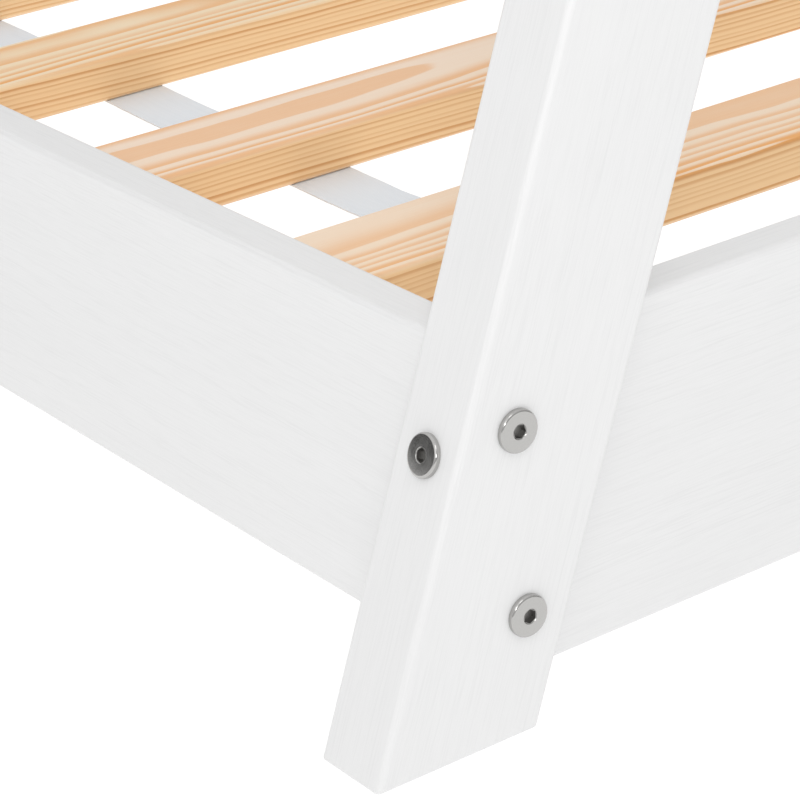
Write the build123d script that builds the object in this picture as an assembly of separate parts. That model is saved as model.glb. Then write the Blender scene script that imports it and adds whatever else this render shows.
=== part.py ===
from build123d import *
from math import cos, radians, sin, tan
import os

# A teepee floor bed for a child, in millimetres. Two side rails run between two pairs of
# leaning legs, the legs of a pair cross in a half lap, and a ridge beam joins the crossings.
# X runs along the bed, Y across it and Z up. The origin is on the floor, under the middle.
# The foot end is at +X and the left side at -Y.

# Mattress that the bed holds
mattress_length = 2000
mattress_width = 900
mattress_play = 10

# Leaning legs. The foot spread is how far a foot stands out past the side rail.
# The reach is how far a leg goes on past the middle of the crossing.
leg_width = 70
leg_thickness = 37
leg_lean = 21
foot_spread = 62
leg_reach = 170
leg_round = 3
lap_play = 0.2

# Side rails and end boards, cut from one stock
board_height = 135
board_thickness = 20
board_lift = 19
board_round = 2.5
board_setback = 10

# Ridge beam
ridge_width = 37
ridge_height = 70
ridge_round = 3

# Slats, spread evenly and stapled to two ribbons by hand, so that each strays a little.
# The strays are along the bed and are taken in turn from the foot end.
slat_count = 12
slat_width = 60
slat_thickness = 21
slat_recess = 15
slat_end_play = 3
slat_round = 2.5
slat_strays = (4, 6, 0.5, 0.5, -3, 1.5, -2)

# Ledgers that carry the slats
ledger_width = 25
ledger_height = 35
ledger_end_gap = 30
ledger_round = 1.5

# Ribbons under the slats
ribbon_width = 32
ribbon_thickness = 1
ribbon_offset = 100
ribbon_end_gap = 5

# Flat-headed connector bolts. A short one goes through a leg's thickness, a long one
# through its width. The inset is from a rail's edge, and the rise is how far the long
# bolt's head lies above the middle of the boards.
bolt_diameter = 6
bolt_play = 0.25
bolt_head_diameter = 17
bolt_head_height = 2.4
bolt_head_chamfer = 0.8
socket_across_flats = 5
socket_depth = 3
short_bolt_length = 70
long_bolt_length = 100
rail_bolt_inset = 30
board_bolt_rise = 30

# Barrel nuts, pushed into blind bores that cross the bolts. A bolt's tip goes past the
# nut's middle by the thread grip, and stays inside the nut.
nut_diameter = 10
nut_length = 13
nut_play = 0.15
thread_grip = 4

# Dowels between the end boards and the legs
dowel_diameter = 8
dowel_length = 40
dowel_play = 0.15
dowel_end_play = 1
dowel_inset = 37

# How far a cutting shape stands past the face that it opens
overshoot = 1

# Places worked out from the sizes above
lean = radians(leg_lean)
rail_length = mattress_length + mattress_play
half_length = rail_length / 2 + leg_thickness
half_inner_width = (mattress_width + mattress_play) / 2
half_width = half_inner_width + board_thickness
board_top = board_lift + board_height
board_inner_face = half_length - board_setback - board_thickness
slat_top = board_top - slat_recess
slat_bottom = slat_top - slat_thickness
foot_outer = half_width + foot_spread
foot_inner = foot_outer - leg_width / cos(lean)
crossing_height = (foot_outer + foot_inner) / 2 / tan(lean)
slat_gap = (2 * board_inner_face - slat_count * slat_width) / (slat_count + 1)

FOOT, HEAD = 1, -1
LEFT, RIGHT = -1, 1
ends = {"foot": FOOT, "head": HEAD}
sides = {"left": LEFT, "right": RIGHT}
corners = [(end, side) for end in ends.values() for side in sides.values()]


class BoltJoint:
    """A connector bolt and the barrel nut that it pulls against.

    The bolt's head seats on the face at seat, which looks outward. The nut's bore opens in
    a face that lies nut_cover from the bolt's axis and looks the way of nut_mouth.
    """

    def __init__(self, seat, outward, length, nut_mouth, nut_cover):
        self.length = length
        self.nut_cover = nut_cover
        self.seat = Plane(seat, z_dir=outward)
        self.nut_depth = length - thread_grip
        nut_middle = self.seat.origin - self.seat.z_dir * self.nut_depth
        self.nut_seat = Plane(nut_middle, x_dir=self.seat.z_dir, z_dir=nut_mouth)

    def bolt(self):
        """The bolt, with a flat chamfered head and a hexagon socket."""
        head = cylinder_between(bolt_head_diameter, 0, bolt_head_height)
        head = chamfer(head.edges().group_by(Axis.Z)[-1], bolt_head_chamfer)
        shank = cylinder_between(bolt_diameter, -self.length, 0)
        flats = RegularPolygon(socket_across_flats / 2, 6, major_radius=False)
        socket = Pos(0, 0, bolt_head_height) * extrude(flats, -socket_depth)
        return self.seat * (head + shank - socket)

    def bolt_bore(self):
        """The clear hole for the bolt, through the leg and on to the nut's bore."""
        width = bolt_diameter + 2 * bolt_play
        return self.seat * cylinder_between(width, -self.nut_depth, overshoot)

    def nut(self):
        """The barrel nut, drilled across for the bolt."""
        body = cylinder_between(nut_diameter, -nut_length / 2, nut_length / 2)
        width = bolt_diameter + 2 * nut_play
        hole = self.seat * cylinder_between(width, -self.nut_depth - nut_diameter, 0)
        return self.nut_seat * body - hole

    def nut_bore(self):
        """The blind bore that the nut is pushed into."""
        width = nut_diameter + 2 * nut_play
        floor = -nut_length / 2 - nut_play
        return self.nut_seat * cylinder_between(width, floor, self.nut_cover + overshoot)


HANGING = (Align.CENTER, Align.CENTER, Align.MAX)


def cylinder_between(diameter, low, high):
    """A round bar along Z, from one height to another."""
    return Pos(0, 0, high) * Cylinder(diameter / 2, high - low, align=HANGING)


def leg_edge(side, height, foot):
    """Y of a leg's sloping edge at a height, from where that edge meets the floor."""
    return side * (foot - tan(lean) * height)


def across_leg(side):
    """The way that a leg's outer edge looks."""
    return (0, side * cos(lean), sin(lean))


def rail_joints(end, side):
    """Two bolts through a leg's thickness into the end of a side rail."""
    y = side * (half_width - board_thickness / 2)
    return [
        BoltJoint((end * half_length, y, height), (end, 0, 0), short_bolt_length,
                  (0, -side, 0), board_thickness / 2)
        for height in (board_top - rail_bolt_inset, board_lift + rail_bolt_inset)
    ]


def board_joint(end, side):
    """One bolt through a leg's width into the end of an end board."""
    x = half_length - leg_thickness / 2
    height = (board_lift + board_top) / 2 + board_bolt_rise
    seat = (end * x, leg_edge(side, height, foot_outer), height)
    return BoltJoint(seat, across_leg(side), long_bolt_length, (-end, 0, 0), x - board_inner_face)


def ridge_joint(end):
    """One bolt through the middle of the crossed legs into the end of the ridge beam."""
    return BoltJoint((end * half_length, 0, crossing_height), (end, 0, 0), short_bolt_length,
                     (0, RIGHT, 0), ridge_width / 2)


def dowel_seat(end, side):
    """Middle of the dowel between a leg's inner edge and an end board, under the bolt."""
    x = end * (half_length - board_setback - board_thickness / 2)
    height = board_lift + dowel_inset
    return Plane((x, leg_edge(side, height, foot_inner), height), z_dir=across_leg(side))


def dowel(seat):
    """A round wooden dowel."""
    return seat * cylinder_between(dowel_diameter, -dowel_length / 2, dowel_length / 2)


def dowel_bore(seat):
    """The bore for a dowel, in both of the pieces that it joins."""
    reach = dowel_length / 2 + dowel_end_play
    return seat * cylinder_between(dowel_diameter + 2 * dowel_play, -reach, reach)


def slat_middle(index):
    """Where the middle of a slat lies along the bed, counted from the foot end."""
    pitch = slat_width + slat_gap
    even = board_inner_face - slat_gap - slat_width / 2 - index * pitch
    return even + slat_strays[index % len(slat_strays)]


def bar(length, width, height, radius):
    """A straight bar along X, with its long arrises rounded."""
    blank = Box(length, width, height)
    return fillet(blank.edges().filter_by(Axis.X), radius)


def leg_outline(side, grow):
    """A leg seen from the end of the bed, made wider by a play on each edge."""
    past = Vector(0, -side * sin(lean), cos(lean)) * leg_reach
    top = Vector(0, 0, crossing_height) + past
    half = Vector(*across_leg(side)) * (leg_width / 2 + grow)
    floor_grow = grow / cos(lean)
    outer = Vector(0, side * (foot_outer + floor_grow), 0)
    inner = Vector(0, side * (foot_inner - floor_grow), 0)
    return make_face(Polyline(outer, inner, top - half, top + half, close=True))


def between(face, near, far):
    """A face that lies across X, drawn out into a solid from one X to another."""
    low, high = sorted((near, far))
    return Pos(low, 0, 0) * extrude(face, high - low, dir=(1, 0, 0))


def leg(end, side):
    """A leaning leg, half lapped for its partner and bored for its bolts and dowels."""
    outer_face = end * half_length
    inner_face = end * (half_length - leg_thickness)
    middle = end * (half_length - leg_thickness / 2)
    blank = between(leg_outline(side, 0), inner_face, outer_face)
    run = Axis((0, 0, 0), (0, -side * sin(lean), cos(lean)))
    blank = fillet(blank.edges().filter_by(run), leg_round)
    lies_outside = end * side < 0
    cut_face = inner_face if lies_outside else outer_face
    past = overshoot if cut_face > middle else -overshoot
    blank -= between(leg_outline(-side, lap_play), middle, cut_face + past)
    joints = rail_joints(end, side) + [board_joint(end, side), ridge_joint(end)]
    blank -= [joint.bolt_bore() for joint in joints]
    return blank - dowel_bore(dowel_seat(end, side))


def side_rail(side):
    """A side rail, bored at both ends for its bolts and barrel nuts."""
    rail = bar(rail_length, board_thickness, board_height, board_round)
    rail = Pos(0, side * (half_width - board_thickness / 2), board_lift + board_height / 2) * rail
    for end in ends.values():
        for joint in rail_joints(end, side):
            rail -= [joint.bolt_bore(), joint.nut_bore()]
    return rail


def end_board(end):
    """An end board, its ends cut to the lean of the legs that it stands between."""
    low = leg_edge(RIGHT, board_lift, foot_inner)
    high = leg_edge(RIGHT, board_top, foot_inner)
    outline = Polyline(
        (0, -low, board_lift), (0, low, board_lift), (0, high, board_top), (0, -high, board_top),
        close=True,
    )
    outer_face = end * (half_length - board_setback)
    board = between(make_face(outline), outer_face, end * board_inner_face)
    board = fillet(board.edges().filter_by(Axis.Y), board_round)
    for side in sides.values():
        joint = board_joint(end, side)
        board -= [joint.bolt_bore(), joint.nut_bore(), dowel_bore(dowel_seat(end, side))]
    return board


def ridge_beam():
    """The beam between the two crossings, bored at both ends."""
    beam = Pos(0, 0, crossing_height) * bar(rail_length, ridge_width, ridge_height, ridge_round)
    for end in ends.values():
        joint = ridge_joint(end)
        beam -= [joint.bolt_bore(), joint.nut_bore()]
    return beam


def slat_ledger(side):
    """The strip inside a rail that the slats lie on."""
    length = rail_length - 2 * ledger_end_gap
    strip = bar(length, ledger_width, ledger_height, ledger_round)
    y = side * (half_inner_width - ledger_width / 2)
    return Pos(0, y, slat_bottom - ledger_height / 2) * strip


def slat(index):
    """A slat, laid across the ledgers."""
    length = 2 * (half_inner_width - slat_end_play)
    board = Rot(0, 0, 90) * bar(length, slat_width, slat_thickness, slat_round)
    return Pos(slat_middle(index), 0, slat_top - slat_thickness / 2) * board


def slat_ribbon(side):
    """A fabric ribbon under the slats, stretched from the first to the last."""
    to_end = slat_width / 2 - ribbon_end_gap
    near = slat_middle(0) + to_end
    far = slat_middle(slat_count - 1) - to_end
    y = side * (half_inner_width - ribbon_offset)
    ribbon = Box(near - far, ribbon_width, ribbon_thickness, align=HANGING)
    return Pos((near + far) / 2, y, slat_bottom) * ribbon


def build():
    """Every piece of the bed, by the name of its node."""
    pieces = {}
    for end_name, end in ends.items():
        for side_name, side in sides.items():
            pieces[f"leg_{end_name}_{side_name}"] = leg(end, side)
        pieces[f"end_board_{end_name}"] = end_board(end)
    for side_name, side in sides.items():
        pieces[f"side_rail_{side_name}"] = side_rail(side)
        pieces[f"slat_ledger_{side_name}"] = slat_ledger(side)
        pieces[f"slat_ribbon_{side_name}"] = slat_ribbon(side)
    pieces["ridge_beam"] = ridge_beam()
    for index in range(slat_count):
        pieces[f"slat_{index + 1:02d}"] = slat(index)

    joints = {
        "rail": [joint for corner in corners for joint in rail_joints(*corner)],
        "end_board": [board_joint(*corner) for corner in corners],
        "ridge": [ridge_joint(end) for end in ends.values()],
    }
    for name, group in joints.items():
        pieces[f"{name}_bolts"] = [joint.bolt() for joint in group]
        pieces[f"{name}_barrel_nuts"] = [joint.nut() for joint in group]
    pieces["end_board_dowels"] = [dowel(dowel_seat(*corner)) for corner in corners]
    return pieces


os.makedirs("parts", exist_ok=True)
for name, piece in build().items():
    shape = Compound(children=piece) if isinstance(piece, list) else piece
    export_step(shape, f"parts/{name}.step")
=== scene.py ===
import logging
from collections.abc import Sequence
from dataclasses import dataclass, field
from enum import Enum
from math import cos, pi, radians, sin, tan

import bmesh
import bpy
from mathutils import Matrix, Vector, noise


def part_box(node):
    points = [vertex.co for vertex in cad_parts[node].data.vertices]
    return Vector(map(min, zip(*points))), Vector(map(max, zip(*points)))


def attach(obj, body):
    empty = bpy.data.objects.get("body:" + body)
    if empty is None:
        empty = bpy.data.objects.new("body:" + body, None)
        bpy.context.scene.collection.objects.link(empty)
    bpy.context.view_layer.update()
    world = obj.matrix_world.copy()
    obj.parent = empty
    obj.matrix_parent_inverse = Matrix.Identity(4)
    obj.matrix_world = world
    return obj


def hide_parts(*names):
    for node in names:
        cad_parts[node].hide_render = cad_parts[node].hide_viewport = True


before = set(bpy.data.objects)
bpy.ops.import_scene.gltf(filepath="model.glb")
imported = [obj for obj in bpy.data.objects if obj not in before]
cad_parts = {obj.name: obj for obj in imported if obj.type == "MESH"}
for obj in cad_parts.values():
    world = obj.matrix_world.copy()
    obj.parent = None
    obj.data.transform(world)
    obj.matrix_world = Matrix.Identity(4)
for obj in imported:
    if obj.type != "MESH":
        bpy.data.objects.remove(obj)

# A teepee floor bed for a child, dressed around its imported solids. Lengths are in metres,
# X runs along the bed with the foot end at +X, Y across it with the left side at -Y, and Z up.

LOG = logging.getLogger("teepee_floor_bed")
MM = 0.001
GOLDEN = 0.618034
BODY = "root"
GRAIN = "grain"
HOLLOW_SHADE = "hollow"
OUTWARD = "outward"
ACROSS = "across"
MATH = "ShaderNodeMath"
VECTOR_MATH = "ShaderNodeVectorMath"
MIX = "ShaderNodeMix"
NOISE = "ShaderNodeTexNoise"
X_AXIS = Vector((1, 0, 0))
Y_AXIS = Vector((0, 1, 0))
Z_AXIS = Vector((0, 0, 1))


class End(Enum):
    """An end of the bed, and the way that it looks along X."""

    FOOT = 1
    HEAD = -1

    @property
    def word(self) -> str:
        """The end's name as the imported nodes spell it."""
        return self.name.lower()


class Side(Enum):
    """A side of the bed, and the way that it looks along Y."""

    LEFT = -1
    RIGHT = 1

    @property
    def word(self) -> str:
        """The side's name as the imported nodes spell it."""
        return self.name.lower()


class Slot(Enum):
    """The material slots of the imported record."""

    LACQUERED = "white_lacquered_pine"
    BARE = "bare_pine"
    TAPE = "white_webbing"
    NICKEL = "nickel_plated_steel"
    ZINC = "zinc_plated_steel"
    BEECH = "beech"


def linear(colour: str) -> tuple[float, float, float, float]:
    """Turns an sRGB hex colour into a linear one.

    Args:
        colour: Six hexadecimal digits, such as "EBD9C4".

    Returns:
        Linear red, green and blue, and an alpha of one.
    """
    values = [int(colour[start:start + 2], 16) / 255 for start in (0, 2, 4)]
    red, green, blue = (v / 12.92 if v <= 0.04045 else ((v + 0.055) / 1.055) ** 2.4 for v in values)
    return red, green, blue, 1.0


def first_output(node: bpy.types.Node) -> bpy.types.NodeSocket:
    """Finds the first output of a node that is in use."""
    return next(socket for socket in node.outputs if socket.enabled)


def add_node(
    tree: bpy.types.NodeTree, kind: str, *values, named: dict | None = None, **settings
) -> bpy.types.Node:
    """Adds a node to a tree, with its settings, values and links.

    Args:
        tree: The tree of a material, a world or a Geometry Nodes modifier.
        kind: The node's type name.
        *values: What goes into its inputs, in order: numbers, sockets, or nodes, whose first
            output is taken.
        named: What goes into inputs by their names.
        **settings: The node's own properties.

    Returns:
        The new node.
    """
    node = tree.nodes.new(kind)
    for name, value in settings.items():
        setattr(node, name, value)
    used = [socket for socket in node.inputs if socket.enabled]
    by_name = {socket.name: socket for socket in reversed(used)}
    for socket, value in [*zip(used, values), *((by_name[n], v) for n, v in (named or {}).items())]:
        if isinstance(value, bpy.types.Node):
            value = first_output(value)
        if isinstance(value, bpy.types.NodeSocket):
            tree.links.new(value, socket)
        else:
            socket.default_value = value
    return node


def blank_material(name: str) -> tuple[bpy.types.Material, bpy.types.NodeTree, bpy.types.Node]:
    """Starts a material with only its shader and its output.

    Args:
        name: What the finish is.

    Returns:
        The material, its tree and its Principled shader.
    """
    material = bpy.data.materials.new(name)
    material.use_nodes = True
    tree = material.node_tree
    tree.nodes.clear()
    shader = add_node(tree, "ShaderNodeBsdfPrincipled")
    add_node(tree, "ShaderNodeOutputMaterial", named={"Surface": shader})
    return material, tree, shader


def dress(tree: bpy.types.NodeTree, shader: bpy.types.Node, links: dict, numbers: dict) -> None:
    """Fills a shader's inputs.

    Args:
        tree: The material's tree.
        shader: Its Principled shader.
        links: The nodes that vary over the surface, by the input's name.
        numbers: The values that are the same all over, by the input's name.
    """
    for name, node in links.items():
        tree.links.new(first_output(node), shader.inputs[name])
    for name, value in numbers.items():
        shader.inputs[name].default_value = value


@dataclass(frozen=True)
class PineFigure:
    """The growth rings of a plain sawn pine board, as a solid pattern in millimetres.

    The board's own grain attribute gives each point's place: along the fibres, and across
    them from the tree's pith. A ring goes from pale early wood to a dark line of late wood
    that ends at once on its outer side. A face that lies along the rings shows them as
    broad flames, and a face across them as close straight lines.

    Attributes:
        ring_width: How wide a year's growth is.
        ring_spread: How much wider or narrower the years are, in ring widths.
        ring_wander: How many ring widths the rings bend in or out along the trunk.
        wander_length: Over what length they bend.
        fibre_width: Width of the finest streaks.
        fibre_length: Their length.
        taper: How much the trunk narrows along its length.
        late_start: Where in a year's growth the wood begins to darken, as a share of it.
        late_dark: From where it is at its darkest.
        late_stop: Up to where it stays so, before the next year's pale wood.
    """

    ring_width: float = 2.3
    ring_spread: float = 1.4
    ring_wander: float = 1.0
    wander_length: float = 260.0
    fibre_width: float = 0.45
    fibre_length: float = 60.0
    taper: float = 0.007
    late_start: float = 0.22
    late_dark: float = 0.80
    late_stop: float = 0.93

    def place(self, tree: bpy.types.NodeTree) -> bpy.types.Node:
        """Gives a point's place in the board's grain, in millimetres."""
        grain = add_node(tree, "ShaderNodeAttribute", attribute_name=GRAIN, attribute_type="GEOMETRY")
        return add_node(
            tree, VECTOR_MATH, grain.outputs["Vector"], named={"Scale": 1 / MM}, operation="SCALE"
        )

    def streaks(
        self, tree: bpy.types.NodeTree, length: float, width: float, detail: float = 2.0
    ) -> bpy.types.Node:
        """Makes noise that is drawn out along the fibres.

        Args:
            tree: The material's tree.
            length: Length of a patch along the fibres, in millimetres.
            width: Width of a patch, in millimetres.
            detail: How many finer layers the noise has.

        Returns:
            The node of the noise, from 0 to 1.
        """
        scale = {"Scale": (1 / length, 1 / width, 1 / width)}
        place = add_node(tree, "ShaderNodeMapping", self.place(tree), named=scale)
        return add_node(tree, NOISE, place, named={"Scale": 1.0, "Detail": detail})

    def radius(self, tree: bpy.types.NodeTree) -> bpy.types.Node:
        """Gives the distance from the pith in ring widths, bent as a real trunk's rings are."""
        place = add_node(tree, "ShaderNodeSeparateXYZ", self.place(tree)).outputs
        aside = add_node(tree, "ShaderNodeCombineXYZ", 0.0, place["Y"], place["Z"])
        length = add_node(tree, VECTOR_MATH, aside, operation="LENGTH")
        coned = add_node(tree, MATH, place["X"], self.taper, length, operation="MULTIPLY_ADD")
        slow = self.streaks(tree, self.wander_length, 70.0, 1.0)
        bend = 4 * self.ring_wander * self.ring_width
        bent = add_node(tree, MATH, slow, bend, coned, operation="MULTIPLY_ADD")
        quick = self.streaks(tree, 40.0, 12.0, 1.0)
        ragged = add_node(tree, MATH, quick, 0.3 * self.ring_width, bent, operation="MULTIPLY_ADD")
        years = add_node(tree, MATH, ragged, self.ring_width, operation="DIVIDE")
        weather = add_node(
            tree, NOISE, noise_dimensions="1D", named={"W": years, "Scale": 0.37, "Detail": 1.0}
        )
        return add_node(tree, MATH, weather, self.ring_spread, years, operation="MULTIPLY_ADD")

    def late_wood(self, tree: bpy.types.NodeTree) -> bpy.types.Node:
        """Gives the darkness of the rings, from 0 in early wood to 1 at the end of late wood."""
        radius = self.radius(tree)
        ramp = add_node(tree, "ShaderNodeValToRGB", add_node(tree, MATH, radius, operation="FRACT"))
        ramp.color_ramp.interpolation = "EASE"
        pale, dark = (0, 0, 0, 1), (1, 1, 1, 1)
        stops = ramp.color_ramp.elements
        stops[0].position, stops[0].color = self.late_start, pale
        stops[1].position, stops[1].color = self.late_dark, dark
        stops.new(self.late_stop).color = dark
        stops.new(1.0).color = pale
        ring = add_node(tree, MATH, radius, operation="FLOOR")
        strength = add_node(tree, "ShaderNodeTexWhiteNoise", ring, noise_dimensions="1D")
        weight = add_node(tree, MATH, strength, 0.6, 0.4, operation="MULTIPLY_ADD")
        return add_node(tree, MATH, ramp, weight, operation="MULTIPLY")

    def fibres(self, tree: bpy.types.NodeTree) -> bpy.types.Node:
        """Gives the fine streaks of the fibres, from 0 to 1."""
        return self.streaks(tree, self.fibre_length, self.fibre_width, 3.0)


@dataclass(frozen=True)
class WhiteLacqueredPine:
    """Thin white satin lacquer, sprayed on planed pine.

    The coat hides the wood's colour and leaves its relief: the late wood stands as fine
    ridges, so that the faces show very pale lines lengthwise and soft cloudy patches.
    """

    colour: str = "ECECEC"
    line_colour: str = "E2E2E2"
    cloud_colour: str = "E8E8E8"
    roughness: float = 0.38
    relief: float = 0.04 * MM
    figure: PineFigure = PineFigure(
        ring_width=2.1,
        ring_spread=1.6,
        ring_wander=0.7,
        wander_length=240.0,
        fibre_width=0.7,
        fibre_length=22.0,
    )

    def material(self) -> bpy.types.Material:
        """Builds the finish."""
        material, tree, shader = blank_material("white_lacquer_on_planed_pine")
        late = self.figure.late_wood(tree)
        fibres = self.figure.fibres(tree)
        cloud = self.figure.streaks(tree, 140.0, 26.0, 3.0)
        coat = add_node(
            tree, MIX, cloud, linear(self.colour), linear(self.cloud_colour), data_type="RGBA"
        )
        strokes = add_node(tree, "ShaderNodeMapRange", fibres, 0.42, 0.68)
        share = add_node(tree, MATH, late, 0.35, 0.3, operation="MULTIPLY_ADD")
        mark = add_node(tree, MATH, strokes, share, operation="MULTIPLY")
        lined = add_node(tree, MIX, mark, coat, linear(self.line_colour), data_type="RGBA")
        height = add_node(tree, MATH, late, 0.5, fibres, operation="MULTIPLY_ADD")
        relief = {"Height": height, "Distance": self.relief, "Strength": 0.6}
        bump = add_node(tree, "ShaderNodeBump", named=relief)
        rough = add_node(tree, MATH, fibres, 0.1, self.roughness - 0.05, operation="MULTIPLY_ADD")
        links = {"Base Color": lined, "Roughness": rough, "Normal": bump}
        dress(tree, shader, links, {"IOR": 1.47, "Specular IOR Level": 0.4})
        return material


@dataclass(frozen=True)
class BarePine:
    """Planed and sanded pine, not coated.

    Flat sawn faces show broad flames of orange late wood in pale cream, pinker in one
    board than in the next. The edges, cut across the rings, are yellower and show them as
    thin straight lines.
    """

    pink_colour: str = "F6E0CB"
    cream_colour: str = "F6E0BF"
    late_colour: str = "EEAA60"
    edge_early_colour: str = "F5D0A0"
    edge_late_colour: str = "D49A60"
    roughness: float = 0.55
    relief: float = 0.06 * MM
    figure: PineFigure = PineFigure(
        ring_width=2.2,
        ring_spread=0.9,
        ring_wander=0.7,
        wander_length=300.0,
        fibre_width=0.5,
        fibre_length=80.0,
    )

    def material(self) -> bpy.types.Material:
        """Builds the finish."""
        material, tree, shader = blank_material("sanded_bare_pine")
        late = self.figure.late_wood(tree)
        fibres = self.figure.fibres(tree)
        geometry = add_node(tree, "ShaderNodeNewGeometry")
        normal = add_node(tree, "ShaderNodeSeparateXYZ", geometry.outputs["Normal"])
        level = add_node(tree, MATH, normal.outputs["Z"], operation="ABSOLUTE")
        face = add_node(tree, "ShaderNodeMapRange", level, 0.3, 0.97)
        cloud = self.figure.streaks(tree, 2500.0, 400.0, 0.0)
        tone = add_node(tree, "ShaderNodeMapRange", cloud, 0.35, 0.65)
        pale_ends = linear(self.pink_colour), linear(self.cream_colour)
        pale = add_node(tree, MIX, tone, *pale_ends, data_type="RGBA")
        early = add_node(tree, MIX, face, linear(self.edge_early_colour), pale, data_type="RGBA")
        dark_ends = linear(self.edge_late_colour), linear(self.late_colour)
        dark = add_node(tree, MIX, face, *dark_ends, data_type="RGBA")
        sharpness = add_node(tree, "ShaderNodeMapRange", face, 0.0, 1.0, 1.8, 0.9)
        ring = add_node(tree, MATH, late, sharpness, operation="POWER")
        streaked = add_node(tree, MATH, fibres, 0.3, -0.13, operation="MULTIPLY_ADD")
        amount = add_node(tree, MATH, ring, streaked, operation="ADD", use_clamp=True)
        wood = add_node(tree, MIX, amount, early, dark, data_type="RGBA")
        height = add_node(tree, MATH, fibres, 0.4, late, operation="MULTIPLY_ADD")
        relief = {"Height": height, "Distance": self.relief, "Strength": 0.6}
        bump = add_node(tree, "ShaderNodeBump", named=relief)
        rough = add_node(tree, MATH, late, -0.1, self.roughness, operation="MULTIPLY_ADD")
        links = {"Base Color": wood, "Roughness": rough, "Normal": bump}
        dress(tree, shader, links, {"Specular IOR Level": 0.3})
        return material


@dataclass(frozen=True)
class PlatedSteel:
    """Bright plate on turned steel, with a fine grit left by the tumbler and small dull patches.

    Nickel gives the bolt heads a warm mirror, and zinc a bluer and duller one. Deep in a
    socket the colour is darkened as painted shade, and the surface is rougher there.
    """

    name: str = "nickel_plate_on_turned_steel"
    colour: str = "B9B8B6"
    # Dark colour that socket points are mixed towards: painted shade in the recess.
    hollow_colour: str = "908F8D"
    roughness: float = 0.15
    dull: float = 0.12
    grit: float = 0.35
    patch: float = 4.0
    hollow_rough: float = 0.3

    def material(self) -> bpy.types.Material:
        """Builds the finish."""
        material, tree, shader = blank_material(self.name)
        place = add_node(tree, "ShaderNodeTexCoord").outputs["Object"]
        fine = add_node(tree, NOISE, place, named={"Scale": 1 / (self.grit * MM)})
        patch = add_node(tree, NOISE, place, named={"Scale": 1 / (self.patch * MM), "Detail": 3.0})
        least = self.roughness - self.dull / 2
        rough = add_node(tree, MATH, patch, self.dull, least, operation="MULTIPLY_ADD")
        relief = {"Height": fine, "Distance": 0.01 * MM, "Strength": 0.25}
        bump = add_node(tree, "ShaderNodeBump", named=relief)
        # Points inside a socket get the dark colour: painted shade where the recess lies in shadow.
        hollow = add_node(
            tree, "ShaderNodeAttribute", attribute_name=HOLLOW_SHADE, attribute_type="GEOMETRY"
        ).outputs["Fac"]
        plate = add_node(
            tree, MIX, hollow, linear(self.colour), linear(self.hollow_colour), data_type="RGBA"
        )
        worn = add_node(tree, MATH, hollow, self.hollow_rough, rough, operation="MULTIPLY_ADD")
        links = {"Base Color": plate, "Roughness": worn, "Normal": bump}
        dress(tree, shader, links, {"Metallic": 1.0})
        return material


@dataclass(frozen=True)
class TurnedBeech:
    """Turned beech: a plain tan wood with short dark flecks along the fibres."""

    colour: str = "CDA47A"
    fleck_colour: str = "A97C52"
    fleck_length: float = 2.5
    fleck_width: float = 0.4

    def material(self) -> bpy.types.Material:
        """Builds the finish."""
        material, tree, shader = blank_material("turned_beech")
        place = add_node(tree, "ShaderNodeTexCoord").outputs["Object"]
        width, length = (1 / (size * MM) for size in (self.fleck_width, self.fleck_length))
        laid = add_node(tree, "ShaderNodeMapping", place, named={"Scale": (width, length, width)})
        flecks = add_node(tree, NOISE, laid, named={"Scale": 1.0})
        share = add_node(tree, "ShaderNodeMapRange", flecks, 0.55, 0.75)
        wood = add_node(
            tree, MIX, share, linear(self.colour), linear(self.fleck_colour), data_type="RGBA"
        )
        dress(tree, shader, {"Base Color": wood}, {"Roughness": 0.5})
        return material


@dataclass(frozen=True)
class WovenTape:
    """Flat woven polyester tape, pale grey white, with a slight satin sheen along its warp.

    Real threads are about 0.25 mm apart, too fine to show from a step away, so they are
    drawn twice as coarse.
    """

    colour: str = "EAF0F6"
    thread_colour: str = "DCE3EA"
    thread_spacing: float = 0.5
    streak_length: float = 30.0
    streak_width: float = 2.0
    roughness: float = 0.62

    def weave(self, tree: bpy.types.NodeTree, place: bpy.types.NodeSocket) -> bpy.types.Node:
        """Makes the over and under of warp and weft, from 0 to 1."""
        parts = add_node(tree, "ShaderNodeSeparateXYZ", place).outputs
        turns = pi / (self.thread_spacing * MM)
        waves = []
        for axis in ("X", "Y"):
            angle = add_node(tree, MATH, parts[axis], turns, operation="MULTIPLY")
            waves.append(add_node(tree, MATH, angle, operation="SINE"))
        crossed = add_node(tree, MATH, *waves, operation="MULTIPLY")
        return add_node(tree, MATH, crossed, 0.5, 0.5, operation="MULTIPLY_ADD")

    def material(self) -> bpy.types.Material:
        """Builds the finish."""
        material, tree, shader = blank_material("woven_polyester_tape")
        grain = add_node(tree, "ShaderNodeAttribute", attribute_name=GRAIN, attribute_type="GEOMETRY")
        place = grain.outputs["Vector"]
        weave = self.weave(tree, place)
        length, width = (1 / (size * MM) for size in (self.streak_length, self.streak_width))
        drawn = add_node(tree, "ShaderNodeMapping", place, named={"Scale": (length, width, width)})
        streaks = add_node(tree, NOISE, drawn, named={"Scale": 1.0})
        share = add_node(tree, MIX, 0.5, weave, streaks, data_type="FLOAT")
        cloth = add_node(
            tree, MIX, share, linear(self.colour), linear(self.thread_colour), data_type="RGBA"
        )
        relief = {"Height": weave, "Distance": 0.08 * MM, "Strength": 0.5}
        bump = add_node(tree, "ShaderNodeBump", named=relief)
        numbers = {"Roughness": self.roughness, "Sheen Weight": 0.2}
        dress(tree, shader, {"Base Color": cloth, "Normal": bump}, numbers)
        return material


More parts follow.
